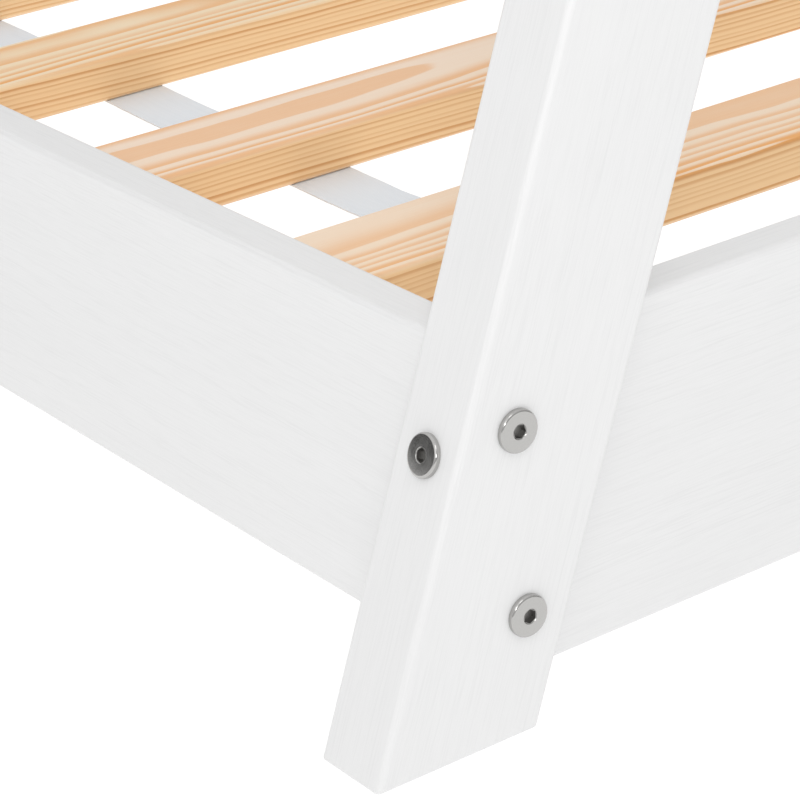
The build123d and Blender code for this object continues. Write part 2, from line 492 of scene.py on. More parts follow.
@dataclass(frozen=True)
class LitTable:
    """A white table top lit from below, as for a cut-out picture."""

    colour: str = "606060"
    glow: float = 1.0

    def material(self) -> bpy.types.Material:
        """Builds the finish."""
        material, tree, shader = blank_material("lit_white_table")
        place = add_node(tree, "ShaderNodeTexCoord").outputs["Object"]
        speckle = add_node(tree, NOISE, place, named={"Scale": 40.0})
        rough = add_node(tree, MATH, speckle, 0.1, 0.8, operation="MULTIPLY_ADD")
        numbers = {
            "Base Color": linear(self.colour),
            "Emission Color": (1, 1, 1, 1),
            "Emission Strength": self.glow,
            "Specular IOR Level": 0.0,
        }
        dress(tree, shader, {"Roughness": rough}, numbers)
        return material


@dataclass(frozen=True)
class Finishes:
    """Every finish of the bed, made once and shared by its pieces."""

    lacquered: bpy.types.Material
    bare: bpy.types.Material
    nickel: bpy.types.Material
    zinc: bpy.types.Material
    beech: bpy.types.Material
    tape: bpy.types.Material

    @classmethod
    def mixed(cls) -> "Finishes":
        """Makes every finish."""
        return cls(
            lacquered=WhiteLacqueredPine().material(),
            bare=BarePine().material(),
            nickel=PlatedSteel().material(),
            zinc=PlatedSteel(
                name="clear_zinc_plate_on_steel",
                colour="B9BDC2",
                # Dark socket colour for the zinc: painted shade in recesses.
                hollow_colour="55585C",
                roughness=0.34,
                dull=0.2,
            ).material(),
            beech=TurnedBeech().material(),
            tape=WovenTape().material(),
        )


def new_object(name: str, data: bpy.types.ID) -> bpy.types.Object:
    """Puts a mesh, a curve, a light or a camera into the scene, at the origin.

    Args:
        name: The object's name.
        data: What the object holds.

    Returns:
        The new object.
    """
    made = bpy.data.objects.new(name, data)
    bpy.context.scene.collection.objects.link(made)
    return made


def mesh_of(shape: bmesh.types.BMesh, name: str) -> bpy.types.Mesh:
    """Turns a bmesh into a mesh with its faces outwards, and frees it.

    Args:
        shape: A closed shape.
        name: The mesh's name.

    Returns:
        The mesh.
    """
    bmesh.ops.recalc_face_normals(shape, faces=shape.faces)
    mesh = bpy.data.meshes.new(name)
    shape.to_mesh(mesh)
    shape.free()
    return mesh


def settle(made: bpy.types.Object) -> bpy.types.Object:
    """Turns an object's modifiers into its mesh.

    Args:
        made: An object with modifiers.

    Returns:
        The same object, with a plain mesh and no modifiers.
    """
    graph = bpy.context.evaluated_depsgraph_get()
    mesh = bpy.data.meshes.new_from_object(
        made.evaluated_get(graph), preserve_all_data_layers=True, depsgraph=graph
    )
    made.modifiers.clear()
    made.data = mesh
    mesh.name = made.name
    return made


def drop(made: bpy.types.Object) -> None:
    """Takes a helper object out of the file."""
    bpy.data.objects.remove(made, do_unlink=True)


def prism(outline: Sequence[Vector], drawn: Vector) -> bmesh.types.BMesh:
    """Draws a flat outline out into a closed solid.

    Args:
        outline: Its corners, in order.
        drawn: How far and which way it is drawn.

    Returns:
        The solid.
    """
    shape = bmesh.new()
    near = [shape.verts.new(corner) for corner in outline]
    far = [shape.verts.new(corner + drawn) for corner in outline]
    shape.faces.new(near)
    shape.faces.new(far)
    count = len(outline)
    for index in range(count):
        after = (index + 1) % count
        shape.faces.new((near[index], near[after], far[after], far[index]))
    return shape


def turned(profile: Sequence[tuple[float, float]], steps: int = 32) -> bmesh.types.BMesh:
    """Turns a profile about Z, as on a lathe.

    Args:
        profile: Radius and height of its points, starting and ending on the axis.
        steps: How many faces go round.

    Returns:
        The closed solid.
    """
    shape = bmesh.new()
    rings = []
    for radius, height in profile:
        if radius == 0:
            rings.append([shape.verts.new((0, 0, height))] * steps)
            continue
        angles = (2 * pi * step / steps for step in range(steps))
        rings.append([shape.verts.new((radius * cos(a), radius * sin(a), height)) for a in angles])
    for low, high in zip(rings, rings[1:]):
        for step in range(steps):
            after = (step + 1) % steps
            corners = dict.fromkeys((low[step], low[after], high[after], high[step]))
            shape.faces.new(tuple(corners))
    return shape


def cylinder(
    middle: Vector, along: Vector, diameter: float, reach: float, steps: int = 32
) -> bmesh.types.BMesh:
    """Makes a round cutter for a bore.

    Args:
        middle: The middle of the bore's mouth.
        along: The way that the bore goes in, of length one.
        diameter: The bore's width.
        reach: Its depth.
        steps: How many faces go round.

    Returns:
        The cutter, which also stands out of the mouth by a millimetre.
    """
    shape = turned([(0, -MM), (diameter / 2, -MM), (diameter / 2, reach), (0, reach)], steps)
    turn = Z_AXIS.rotation_difference(along).to_matrix().to_4x4()
    bmesh.ops.transform(shape, matrix=Matrix.Translation(middle) @ turn, verts=shape.verts)
    return shape


def bar_cutter(half_x: float, half_y: float, floor: float, top: float) -> bmesh.types.BMesh:
    """Makes a cutter for a straight slot, centred on Z.

    Args:
        half_x: Half of its size along X.
        half_y: Half of its size along Y.
        floor: Height of the slot's floor.
        top: Height of the face that the slot opens.

    Returns:
        The cutter, which also stands out of the face by a millimetre.
    """
    signs = ((-1, -1), (1, -1), (1, 1), (-1, 1))
    corners = [Vector((half_x * x, half_y * y, floor)) for x, y in signs]
    return prism(corners, Z_AXIS * (top - floor + MM))


def mark_hollow(made: bpy.types.Object, radius: float, low: float, high: float) -> None:
    """Marks the points inside a fitting's socket, whose colour the finish darkens as painted shade.

    Args:
        made: The fitting, with its axis along Z.
        radius: How far from the axis the socket reaches.
        low: Height of the lowest points that count.
        high: Height of the highest points that count.
    """
    # One inside the socket, where the colour is darkened as painted shade; zero elsewhere.
    attribute = made.data.attributes.new(HOLLOW_SHADE, "FLOAT", "POINT")
    for point, item in zip(made.data.vertices, attribute.data):
        inside = point.co.xy.length < radius and low < point.co.z < high
        item.value = 1.0 if inside else 0.0


def cut(made: bpy.types.Object, cutters: Sequence[bmesh.types.BMesh]) -> bpy.types.Object:
    """Cuts shapes out of an object.

    Args:
        made: The object that is cut.
        cutters: The shapes that are taken out, which are freed.

    Returns:
        The same object, with the cuts in its mesh.
    """
    helpers = []
    for index, cutter in enumerate(cutters):
        helper = new_object(f"cutter_{index}", mesh_of(cutter, "cutter"))
        modifier = made.modifiers.new(f"cut_{index}", "BOOLEAN")
        modifier.operation = "DIFFERENCE"
        modifier.solver = "EXACT"
        modifier.object = helper
        helpers.append(helper)
    settle(made)
    for helper in helpers:
        drop(helper)
    return made


def smooth_flats(made: bpy.types.Object, sharp: float = radians(50)) -> None:
    """Shades rounded arrises smoothly and keeps the flats flat.

    Args:
        made: The object, whose mesh gets its own normals.
        sharp: The turn past which an edge stays crisp.
    """
    made.data.shade_smooth()
    made.data.set_sharp_from_angle(angle=sharp)
    modifier = made.modifiers.new("flats", "WEIGHTED_NORMAL")
    modifier.keep_sharp = True
    modifier.weight = 100
    settle(made)


def hand_over(
    made: bpy.types.Object, finish: bpy.types.Material, nodes: Sequence[str] = ()
) -> bpy.types.Object:
    """Gives a finished piece its material, its body and the nodes that it stands for.

    Args:
        made: The piece.
        finish: Its material.
        nodes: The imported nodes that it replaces.

    Returns:
        The same piece.
    """
    made.data.materials.clear()
    made.data.materials.append(finish)
    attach(made, BODY)
    if nodes:
        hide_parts(*nodes)
    stands_for = ", ".join(nodes) or "no node"
    LOG.info("%s: %d faces, stands for %s", made.name, len(made.data.polygons), stands_for)
    return made


@dataclass(frozen=True)
class Log:
    """How a board was sawn from its log.

    Attributes:
        along: The way that its fibres run.
        face: The way that its broad face looks, away from the pith.
        pith_depth: How deep the pith lies behind the board's middle.
        pith_aside: How far the pith lies to the side.
        start: Where along the trunk the board begins, which picks its figure.
    """

    along: Vector
    face: Vector
    pith_depth: float = 70 * MM
    pith_aside: float = 0.0
    start: float = 0.0

    def lay(self, mesh: bpy.types.Mesh, middle: Vector) -> None:
        """Writes each point's place in the log as the mesh's grain attribute.

        Args:
            mesh: The board's mesh.
            middle: The board's middle.
        """
        side = self.face.cross(self.along)
        attribute = mesh.attributes.new(GRAIN, "FLOAT_VECTOR", "POINT")
        for point, value in zip(mesh.vertices, attribute.data):
            arm = point.co - middle
            value.vector = (
                arm.dot(self.along) + self.start,
                arm.dot(side) + self.pith_aside,
                arm.dot(self.face) + self.pith_depth,
            )


@dataclass
class Board:
    """A planed board with rounded arrises.

    Attributes:
        name: The piece's name.
        node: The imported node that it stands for.
        outline: Its outline's corners.
        drawn: Its thickness, as the way that the outline is drawn out.
        log: How it was sawn.
        arris: Radius of its long arrises.
        end_arris: Radius of the arrises round its sawn ends.
        steps: How many faces round each arris.
        cutters: The shapes that are cut out of it.
    """

    name: str
    node: str
    outline: list[Vector]
    drawn: Vector
    log: Log
    arris: float
    end_arris: float
    steps: int = 5
    cutters: list[bmesh.types.BMesh] = field(default_factory=list)

    @classmethod
    def from_box(cls, name: str, node: str, log: Log, arris: float, end_arris: float) -> "Board":
        """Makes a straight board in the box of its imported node."""
        low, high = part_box(node)
        corners = [(low.y, low.z), (high.y, low.z), (high.y, high.z), (low.y, high.z)]
        outline = [Vector((low.x, y, z)) for y, z in corners]
        return cls(name, node, outline, Vector((high.x - low.x, 0, 0)), log, arris, end_arris)

    def middle(self) -> Vector:
        """Where the middle of the board lies."""
        return sum(self.outline, Vector()) / len(self.outline) + self.drawn / 2

    def blank(self) -> bpy.types.Mesh:
        """The board with sharp arrises, each edge weighted for its rounding."""
        shape = prism(self.outline, self.drawn)
        weight = shape.edges.layers.float.new("bevel_weight_edge")
        for edge in shape.edges:
            run = (edge.verts[1].co - edge.verts[0].co).normalized()
            lengthwise = abs(run.dot(self.log.along)) > 0.98
            edge[weight] = 1.0 if lengthwise else self.end_arris / self.arris
        return mesh_of(shape, self.name)

    def build(self, finish: bpy.types.Material, slot: Slot) -> bpy.types.Object:
        """Makes the board, rounds it, cuts it and dresses it.

        Args:
            finish: Its material.
            slot: The record's slot for it; not used.

        Returns:
            The finished piece.
        """
        made = new_object(self.name, self.blank())
        modifier = made.modifiers.new("arrises", "BEVEL")
        modifier.limit_method = "WEIGHT"
        modifier.offset_type = "OFFSET"
        modifier.width = self.arris
        modifier.segments = self.steps
        settle(made)
        if self.cutters:
            cut(made, self.cutters)
        smooth_flats(made)
        self.log.lay(made.data, self.middle())
        return hand_over(made, finish, [self.node])


@dataclass(frozen=True)
class Joint:
    """A connector bolt and the barrel nut that it pulls against.

    Attributes:
        seat: The middle of the place where the bolt's head lies.
        outward: The way that the head looks.
        length: The bolt's length under its head.
        nut_mouth: The way that the nut's bore opens.
        nut_cover: How deep the bolt's axis lies under the face with the nut's bore.
    """

    seat: Vector
    outward: Vector
    length: float
    nut_mouth: Vector
    nut_cover: float
    thread_grip: float = 4 * MM
    bolt_bore: float = 6.5 * MM
    nut_bore: float = 10.3 * MM
    nut_half: float = 6.65 * MM

    def nut_middle(self) -> Vector:
        """Where the middle of the barrel nut lies."""
        return self.seat - self.outward * (self.length - self.thread_grip)

    def bolt_cutter(self) -> bmesh.types.BMesh:
        """The cutter for the bolt's hole."""
        return cylinder(self.seat, -self.outward, self.bolt_bore, self.length - self.thread_grip)

    def nut_cutter(self) -> bmesh.types.BMesh:
        """The cutter for the barrel nut's blind bore."""
        mouth = self.nut_middle() + self.nut_mouth * self.nut_cover
        return cylinder(mouth, -self.nut_mouth, self.nut_bore, self.nut_cover + self.nut_half)

    def cutters(self) -> list[bmesh.types.BMesh]:
        """The cutters for a board that holds both the bolt's end and the nut."""
        return [self.bolt_cutter(), self.nut_cutter()]


@dataclass
class Plan:
    """Where the frame's pieces and joints lie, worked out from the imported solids.

    The lean, the play of the half laps and the places of the bolts are sizes of the design.
    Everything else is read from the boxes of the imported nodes.
    """

    lean: float = radians(21)
    leg_width: float = 70 * MM
    lap_play: float = 0.2 * MM
    rail_bolt_inset: float = 30 * MM
    board_bolt_rise: float = 30 * MM
    dowel_inset: float = 37 * MM
    dowel_bore: float = 8.3 * MM
    dowel_reach: float = 21 * MM
    short_bolt: float = 70 * MM
    long_bolt: float = 100 * MM

    def __post_init__(self) -> None:
        """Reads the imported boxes."""
        leg_low, leg_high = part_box("leg_foot_right")
        rail_low, rail_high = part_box("side_rail_right")
        board_low, board_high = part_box("end_board_foot")
        beam_low, beam_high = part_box("ridge_beam")
        self.half_length = leg_high.x
        self.leg_thickness = leg_high.x - leg_low.x
        self.foot_outer = leg_high.y
        self.foot_inner = self.foot_outer - self.leg_width / cos(self.lean)
        self.crossing_height = (beam_low.z + beam_high.z) / 2
        self.beam_width = beam_high.y - beam_low.y
        self.rail_middle = (rail_low.y + rail_high.y) / 2
        self.board_thickness = rail_high.y - rail_low.y
        self.board_low, self.board_top = board_low.z, board_high.z
        self.board_inner, self.board_outer = board_low.x, board_high.x
        corner_rise = self.leg_width / 2 * sin(self.lean)
        self.leg_reach = (leg_high.z - self.crossing_height - corner_rise) / cos(self.lean)

    def edge(self, side: Side, height: float, foot: float) -> float:
        """Y of a leg's sloping edge at a height, from where that edge meets the floor."""
        return side.value * (foot - tan(self.lean) * height)

    def across(self, side: Side) -> Vector:
        """The way that a leg's outer edge looks."""
        return Vector((0, side.value * cos(self.lean), sin(self.lean)))

    def up_leg(self, side: Side) -> Vector:
        """The way that a leg rises."""
        return Vector((0, -side.value * sin(self.lean), cos(self.lean)))

    def leg_outline(self, side: Side, x: float, grow: float = 0.0) -> list[Vector]:
        """A leg's outline at one X, made wider by a play on each edge."""
        top = Vector((x, 0, self.crossing_height)) + self.up_leg(side) * self.leg_reach
        half = self.across(side) * (self.leg_width / 2 + grow)
        spare = grow / cos(self.lean)
        outer = Vector((x, side.value * (self.foot_outer + spare), 0))
        inner = Vector((x, side.value * (self.foot_inner - spare), 0))
        return [outer, inner, top - half, top + half]

    def rail_joints(self, end: End, side: Side) -> list[Joint]:
        """The two bolts through a leg's thickness into a side rail."""
        heights = (self.board_top - self.rail_bolt_inset, self.board_low + self.rail_bolt_inset)
        return [
            Joint(
                Vector((end.value * self.half_length, side.value * self.rail_middle, height)),
                X_AXIS * end.value,
                self.short_bolt,
                -Y_AXIS * side.value,
                self.board_thickness / 2,
            )
            for height in heights
        ]

    def board_joint(self, end: End, side: Side) -> Joint:
        """The bolt through a leg's width into an end board."""
        x = self.half_length - self.leg_thickness / 2
        height = (self.board_low + self.board_top) / 2 + self.board_bolt_rise
        seat = Vector((end.value * x, self.edge(side, height, self.foot_outer), height))
        cover = x - self.board_inner
        return Joint(seat, self.across(side), self.long_bolt, -X_AXIS * end.value, cover)

    def ridge_joint(self, end: End) -> Joint:
        """The bolt through the crossed legs into the ridge beam."""
        seat = Vector((end.value * self.half_length, 0, self.crossing_height))
        return Joint(seat, X_AXIS * end.value, self.short_bolt, Y_AXIS, self.beam_width / 2)

    def dowel_middle(self, end: End, side: Side) -> Vector:
        """The middle of the dowel between a leg and an end board."""
        x = end.value * (self.board_inner + self.board_outer) / 2
        height = self.board_low + self.dowel_inset
        return Vector((x, self.edge(side, height, self.foot_inner), height))

    def dowel_cutter(self, end: End, side: Side) -> bmesh.types.BMesh:
        """The cutter for the dowel's bore, in both of the pieces that it joins."""
        along = self.across(side)
        mouth = self.dowel_middle(end, side) - along * self.dowel_reach
        return cylinder(mouth, along, self.dowel_bore, 2 * self.dowel_reach)


@dataclass
class GableEnd:
    """Two leaning legs that cross in a half lap, and the end board between them."""

    plan: Plan
    end: End
    leg_arris: float = 3 * MM
    board_arris: float = 2.5 * MM
    sawn_arris: float = 1.6 * MM
    cut_arris: float = 0.4 * MM

    def leg(self, side: Side, finishes: Finishes) -> bpy.types.Object:
        """Makes one leg, half lapped for its partner and bored."""
        plan, sign = self.plan, self.end.value
        inner = sign * (plan.half_length - plan.leg_thickness)
        middle = sign * (plan.half_length - plan.leg_thickness / 2)
        node = f"leg_{self.end.word}_{side.word}"
        log = Log(
            plan.up_leg(side),
            X_AXIS * sign,
            pith_depth=46 * MM,
            pith_aside=24 * MM * side.value,
            start=0.9 * side.value + 2.3 * sign,
        )
        drawn = X_AXIS * sign * plan.leg_thickness
        outline = plan.leg_outline(side, inner)
        board = Board(
            f"lacquered_{node}", node, outline, drawn, log, self.leg_arris, self.sawn_arris
        )
        partner = Side(-side.value)
        lies_outside = sign * side.value < 0
        cut_from = inner - sign * MM if lies_outside else middle
        depth = plan.leg_thickness / 2 + MM
        notch = prism(plan.leg_outline(partner, cut_from, plan.lap_play), X_AXIS * sign * depth)
        joints = plan.rail_joints(self.end, side)
        joints += [plan.board_joint(self.end, side), plan.ridge_joint(self.end)]
        board.cutters = [notch, plan.dowel_cutter(self.end, side)]
        board.cutters += [joint.bolt_cutter() for joint in joints]
        return board.build(finishes.lacquered, Slot.LACQUERED)

    def board(self, finishes: Finishes) -> bpy.types.Object:
        """Makes the end board, its ends cut to the lean of the legs."""
        plan, sign = self.plan, self.end.value
        low = plan.edge(Side.RIGHT, plan.board_low, plan.foot_inner)
        high = plan.edge(Side.RIGHT, plan.board_top, plan.foot_inner)
        x, bottom, top = sign * plan.board_inner, plan.board_low, plan.board_top
        corners = ((-low, bottom), (low, bottom), (high, top), (-high, top))
        outline = [Vector((x, y, z)) for y, z in corners]
        drawn = X_AXIS * sign * (plan.board_outer - plan.board_inner)
        log = Log(
            Y_AXIS, X_AXIS * sign, pith_depth=62 * MM, pith_aside=30 * MM, start=5.1 + 1.7 * sign
        )
        node = f"end_board_{self.end.word}"
        board = Board(
            f"lacquered_{node}", node, outline, drawn, log, self.board_arris, self.cut_arris
        )
        joints = [plan.board_joint(self.end, side) for side in Side]
        board.cutters = [plan.dowel_cutter(self.end, side) for side in Side]
        board.cutters += [cutter for joint in joints for cutter in joint.cutters()]
        return board.build(finishes.lacquered, Slot.LACQUERED)

    def build(self, finishes: Finishes) -> None:
        """Makes the legs and the board of this end."""
        for side in Side:
            self.leg(side, finishes)
        self.board(finishes)


@dataclass
class LongTimbers:
    """The side rails and the ridge beam, which run the length of the bed."""

    plan: Plan
    rail_arris: float = 2.5 * MM
    beam_arris: float = 3 * MM
    sawn_arris: float = 0.4 * MM

    def rail(self, side: Side, finishes: Finishes) -> bpy.types.Object:
        """Makes one side rail."""
        node = f"side_rail_{side.word}"
        log = Log(
            X_AXIS,
            Y_AXIS * side.value,
            pith_depth=58 * MM,
            pith_aside=22 * MM,
            start=3.4 + 2.1 * side.value,
        )
        board = Board.from_box(f"lacquered_{node}", node, log, self.rail_arris, self.sawn_arris)
        joints = [joint for end in End for joint in self.plan.rail_joints(end, side)]
        board.cutters = [cutter for joint in joints for cutter in joint.cutters()]
        return board.build(finishes.lacquered, Slot.LACQUERED)

    def ridge(self, finishes: Finishes) -> bpy.types.Object:
        """Makes the ridge beam."""
        log = Log(X_AXIS, Y_AXIS, pith_depth=64 * MM, pith_aside=-18 * MM, start=8.0)
        board = Board.from_box(
            "lacquered_ridge_beam", "ridge_beam", log, self.beam_arris, self.sawn_arris
        )
        joints = [self.plan.ridge_joint(end) for end in End]
        board.cutters = [cutter for joint in joints for cutter in joint.cutters()]
        return board.build(finishes.lacquered, Slot.LACQUERED)

    def build(self, finishes: Finishes) -> None:
        """Makes both rails and the ridge beam."""
        for side in Side:
            self.rail(side, finishes)
        self.ridge(finishes)


class GeometryTree:
    """A Geometry Nodes tree with named inputs, which ends in real geometry with a material."""

    def __init__(self, name: str, inputs: dict[str, str]) -> None:
        """Starts the tree.

        Args:
            name: The tree's name.
            inputs: The kind of each named input.
        """
        self.tree = bpy.data.node_groups.new(name, "GeometryNodeTree")
        self.keys: dict[str, str] = {}
        face = self.tree.interface
        face.new_socket("Seats", in_out="INPUT", socket_type="NodeSocketGeometry")
        for label, kind in {**inputs, "Finish": "NodeSocketMaterial"}.items():
            self.keys[label] = face.new_socket(label, in_out="INPUT", socket_type=kind).identifier
        face.new_socket("Pieces", in_out="OUTPUT", socket_type="NodeSocketGeometry")
        self.given = add_node(self.tree, "NodeGroupInput").outputs

    def close(self, copies: bpy.types.Node) -> None:
        """Ends the tree.

        Args:
            copies: The node that makes the instances.
        """
        real = add_node(self.tree, "GeometryNodeRealizeInstances", copies)
        dressed = add_node(
            self.tree, "GeometryNodeSetMaterial", real, named={"Material": self.given["Finish"]}
        )
        add_node(self.tree, "NodeGroupOutput", dressed)

    def run(self, name: str, seats: bpy.types.Mesh, values: dict) -> bpy.types.Object:
        """Runs the tree on a mesh of seats.

        Args:
            name: The new piece's name.
            seats: One point for each copy.
            values: A value for each named input.

        Returns:
            The piece, as a plain mesh.
        """
        made = new_object(name, seats)
        modifier = made.modifiers.new("pieces", "NODES")
        modifier.node_group = self.tree
        for label, value in values.items():
            modifier[self.keys[label]] = value
        return settle(made)


class SlatTree(GeometryTree):
    """Sweeps a rounded section along a slat's length, slightly crooked as sawn wood is."""

    def __init__(self) -> None:
        """Builds the tree."""
        sizes = ("Length", "Width", "Thickness", "Arris", "Crook", "Seed")
        super().__init__("planed_slat", {label: "NodeSocketFloat" for label in sizes})
        tree, given = self.tree, self.given
        half = add_node(tree, MATH, given["Length"], 0.5, operation="MULTIPLY")
        less = add_node(tree, MATH, given["Length"], -0.5, operation="MULTIPLY")
        start = add_node(tree, "ShaderNodeCombineXYZ", 0.0, less)
        stop = add_node(tree, "ShaderNodeCombineXYZ", 0.0, half)
        line = add_node(tree, "GeometryNodeCurvePrimitiveLine", start, stop, mode="POINTS")
        points = add_node(tree, "GeometryNodeResampleCurve", line, named={"Count": 24})
        place = add_node(tree, "GeometryNodeInputPosition")
        shape = {"Vector": place, "W": given["Seed"], "Scale": 1.6, "Detail": 0.0}
        drift = add_node(tree, NOISE, noise_dimensions="4D", named=shape)
        evened = add_node(tree, MATH, drift, 0.5, operation="SUBTRACT")
        push = add_node(tree, MATH, evened, given["Crook"], operation="MULTIPLY")
        offset = add_node(tree, "ShaderNodeCombineXYZ", push)
        crooked = add_node(tree, "GeometryNodeSetPosition", points, named={"Offset": offset})
        upright = add_node(tree, "GeometryNodeSetCurveNormal", crooked, mode="Z_UP")
        size = {"Width": given["Width"], "Height": given["Thickness"]}
        section = add_node(tree, "GeometryNodeCurvePrimitiveQuadrilateral", named=size)
        arris = {"Radius": given["Arris"], "Count": 5}
        rounded = add_node(tree, "GeometryNodeFilletCurve", section, mode="POLY", named=arris)
        caps = {"Profile Curve": rounded, "Fill Caps": True}
        swept = add_node(tree, "GeometryNodeCurveToMesh", upright, named=caps)
        self.close(
            add_node(tree, "GeometryNodeInstanceOnPoints", given["Seats"], named={"Instance": swept})
        )


class FittingTree(GeometryTree):
    """Sets a fitting on each seat, looking the seat's way and turned about its own axis."""

    def __init__(self) -> None:
        """Builds the tree."""
        kinds = {"Fitting": "NodeSocketObject", "Roll": "NodeSocketFloat", "Seed": "NodeSocketInt"}
        super().__init__("fittings_on_seats", kinds)
        tree, given = self.tree, self.given
        turn = None
        for name, axis, pivot in ((OUTWARD, "Z", "AUTO"), (ACROSS, "X", "Z")):
            way = add_node(
                tree, "GeometryNodeInputNamedAttribute", data_type="FLOAT_VECTOR", named={"Name": name}
            )
            before = {"Rotation": turn} if turn else {}
            turn = add_node(
                tree,
                "FunctionNodeAlignRotationToVector",
                axis=axis,
                pivot_axis=pivot,
                named={**before, "Vector": way},
            )
        seeded = {"Seed": given["Seed"]}
        share = add_node(tree, "FunctionNodeRandomValue", data_type="FLOAT", named=seeded)
        angle = add_node(tree, MATH, share, given["Roll"], operation="MULTIPLY")
        roll = add_node(tree, "FunctionNodeAxisAngleToRotation", Z_AXIS, angle)
        rolled = add_node(tree, "FunctionNodeRotateRotation", turn, roll, rotation_space="LOCAL")
        source = add_node(
            tree, "GeometryNodeObjectInfo", given["Fitting"], transform_space="ORIGINAL"
        ).outputs["Geometry"]
        copies = {"Instance": source, "Rotation": rolled}
        self.close(add_node(tree, "GeometryNodeInstanceOnPoints", given["Seats"], named=copies))


@dataclass(frozen=True)
class Seat:
    """A place for a fitting: where it sits, the way it looks and the way its X lies."""

    middle: Vector
    outward: Vector
    across: Vector


def seats_mesh(seats: Sequence[Seat]) -> bpy.types.Mesh:
    """Makes the points that a tree sets its fittings on.

    Args:
        seats: The places, in order.

    Returns:
        A mesh of points with their directions as attributes.
    """
    mesh = bpy.data.meshes.new("seats")
    mesh.from_pydata([seat.middle for seat in seats], [], [])
    for name, values in (
        (OUTWARD, [seat.outward for seat in seats]),
        (ACROSS, [seat.across for seat in seats]),
    ):
        attribute = mesh.attributes.new(name, "FLOAT_VECTOR", "POINT")
        for item, value in zip(attribute.data, values):
            item.vector = value
    return mesh


@dataclass(frozen=True)
class ConnectorBolt:
    """A flat headed connector bolt with a hexagon socket and a rolled thread."""

    head: float = 17 * MM
    head_height: float = 2.4 * MM
    rim: float = 1.1 * MM
    shank: float = 6 * MM
    flats: float = 5 * MM
    socket_depth: float = 2.9 * MM
    pitch: float = 1 * MM
    thread_depth: float = 0.35 * MM
    thread_length: float = 24 * MM
    under_chamfer: float = 0.2 * MM
    mouth_chamfer: float = 0.3 * MM
    mouth_play: float = 0.25 * MM
    rim_steps: int = 5

    def rim_points(self) -> list[tuple[float, float]]:
        """The rounded rim of the head, from its side to its flat top."""
        radius, height = self.head / 2 - self.rim, self.head_height - self.rim
        turns = (pi / 2 * step / self.rim_steps for step in range(self.rim_steps + 1))
        return [(radius + self.rim * cos(turn), height + self.rim * sin(turn)) for turn in turns]

    def shank_points(self, length: float) -> list[tuple[float, float]]:
        """The shank's profile, from its tip to the underside of the head."""
        points = [(0, -length), (self.shank / 2 - self.thread_depth, -length)]
        height = self.pitch / 2 - length
        for _ in range(round(self.thread_length / self.pitch)):
            points.append((self.shank / 2, height))
            points.append((self.shank / 2 - self.thread_depth, height + self.pitch / 2))
            height += self.pitch
        return points + [(self.shank / 2, height), (self.shank / 2, 0)]

    def build(self, length: float) -> bpy.types.Object:
        """Makes one bolt, with its seat at the origin and its head up.

        Args:
            length: Its length under the head.

        Returns:
            A helper object for the fittings tree.
        """
        corner = self.flats / 2 / cos(pi / 6)
        under = [(self.head / 2 - self.under_chamfer, 0), (self.head / 2, self.under_chamfer)]
        mouth, sunk = corner + self.mouth_play, self.head_height - self.mouth_chamfer
        top = [(mouth, self.head_height), (mouth - self.mouth_chamfer, sunk), (0, sunk)]
        profile = self.shank_points(length) + under + self.rim_points() + top
        made = new_object("bolt_pattern", mesh_of(turned(profile, 40), "bolt_pattern"))
        floor = self.head_height - self.socket_depth
        turns = [pi / 3 * index for index in range(6)]
        corners = [Vector((corner * cos(a), corner * sin(a), floor)) for a in turns]
        cut(made, [prism(corners, Z_AXIS * (self.socket_depth + MM))])
        smooth_flats(made, radians(32))
        # The socket's inner points are marked, so that their colour is darkened as painted shade.
        mark_hollow(made, corner + 0.02 * MM, floor - 0.1 * MM, self.head_height - 0.2 * MM)
        return made


@dataclass(frozen=True)
class BarrelNut:
    """A barrel nut, cross drilled for its bolt, with a slot in the end that shows."""

    width: float = 10 * MM
    length: float = 13 * MM
    hole: float = 6.3 * MM
    chamfer: float = 0.6 * MM
    slot_width: float = 1.4 * MM
    slot_depth: float = 1.2 * MM

    def build(self) -> bpy.types.Object:
        """Makes one nut, with its middle at the origin, its slot up and its hole along X."""
        half, radius = self.length / 2, self.width / 2
        quarter = [(radius - self.chamfer, half), (radius, half - self.chamfer)]
        profile = [(0, -half)] + [(r, -z) for r, z in quarter] + quarter[::-1] + [(0, half)]
        made = new_object("nut_pattern", mesh_of(turned(profile), "nut_pattern"))
        drill = cylinder(-X_AXIS * self.width, X_AXIS, self.hole, 2 * self.width, 24)
        slot = bar_cutter(self.width, self.slot_width / 2, half - self.slot_depth, half)
        cut(made, [drill, slot])
        smooth_flats(made, radians(32))
        return made


@dataclass(frozen=True)
class FlutedDowel:
    """A beech dowel with pressed flutes that let the glue out."""

    width: float = 8 * MM
    length: float = 40 * MM
    flutes: int = 12
    flute_depth: float = 0.35 * MM
    chamfer: float = 1 * MM

    def build(self) -> bpy.types.Object:
        """Makes one dowel along Z, with its middle at the origin."""
        half, radius = self.length / 2, self.width / 2
        profile = [(0, -half), (radius - self.chamfer, -half), (radius, self.chamfer - half)]
        profile += [(r, -z) for r, z in profile[::-1]]
        shape = turned(profile, self.flutes * 4)
        for point in shape.verts:
            reach = point.co.xy.length
            if reach > radius - self.chamfer / 2:
                angle = point.co.xy.angle_signed(Vector((1, 0)))
                pressed = self.flute_depth * max(0.0, cos(angle * self.flutes))
                point.co.xy *= (reach - pressed) / reach
        made = new_object("dowel_pattern", mesh_of(shape, "dowel_pattern"))
        smooth_flats(made, radians(50))
        return made


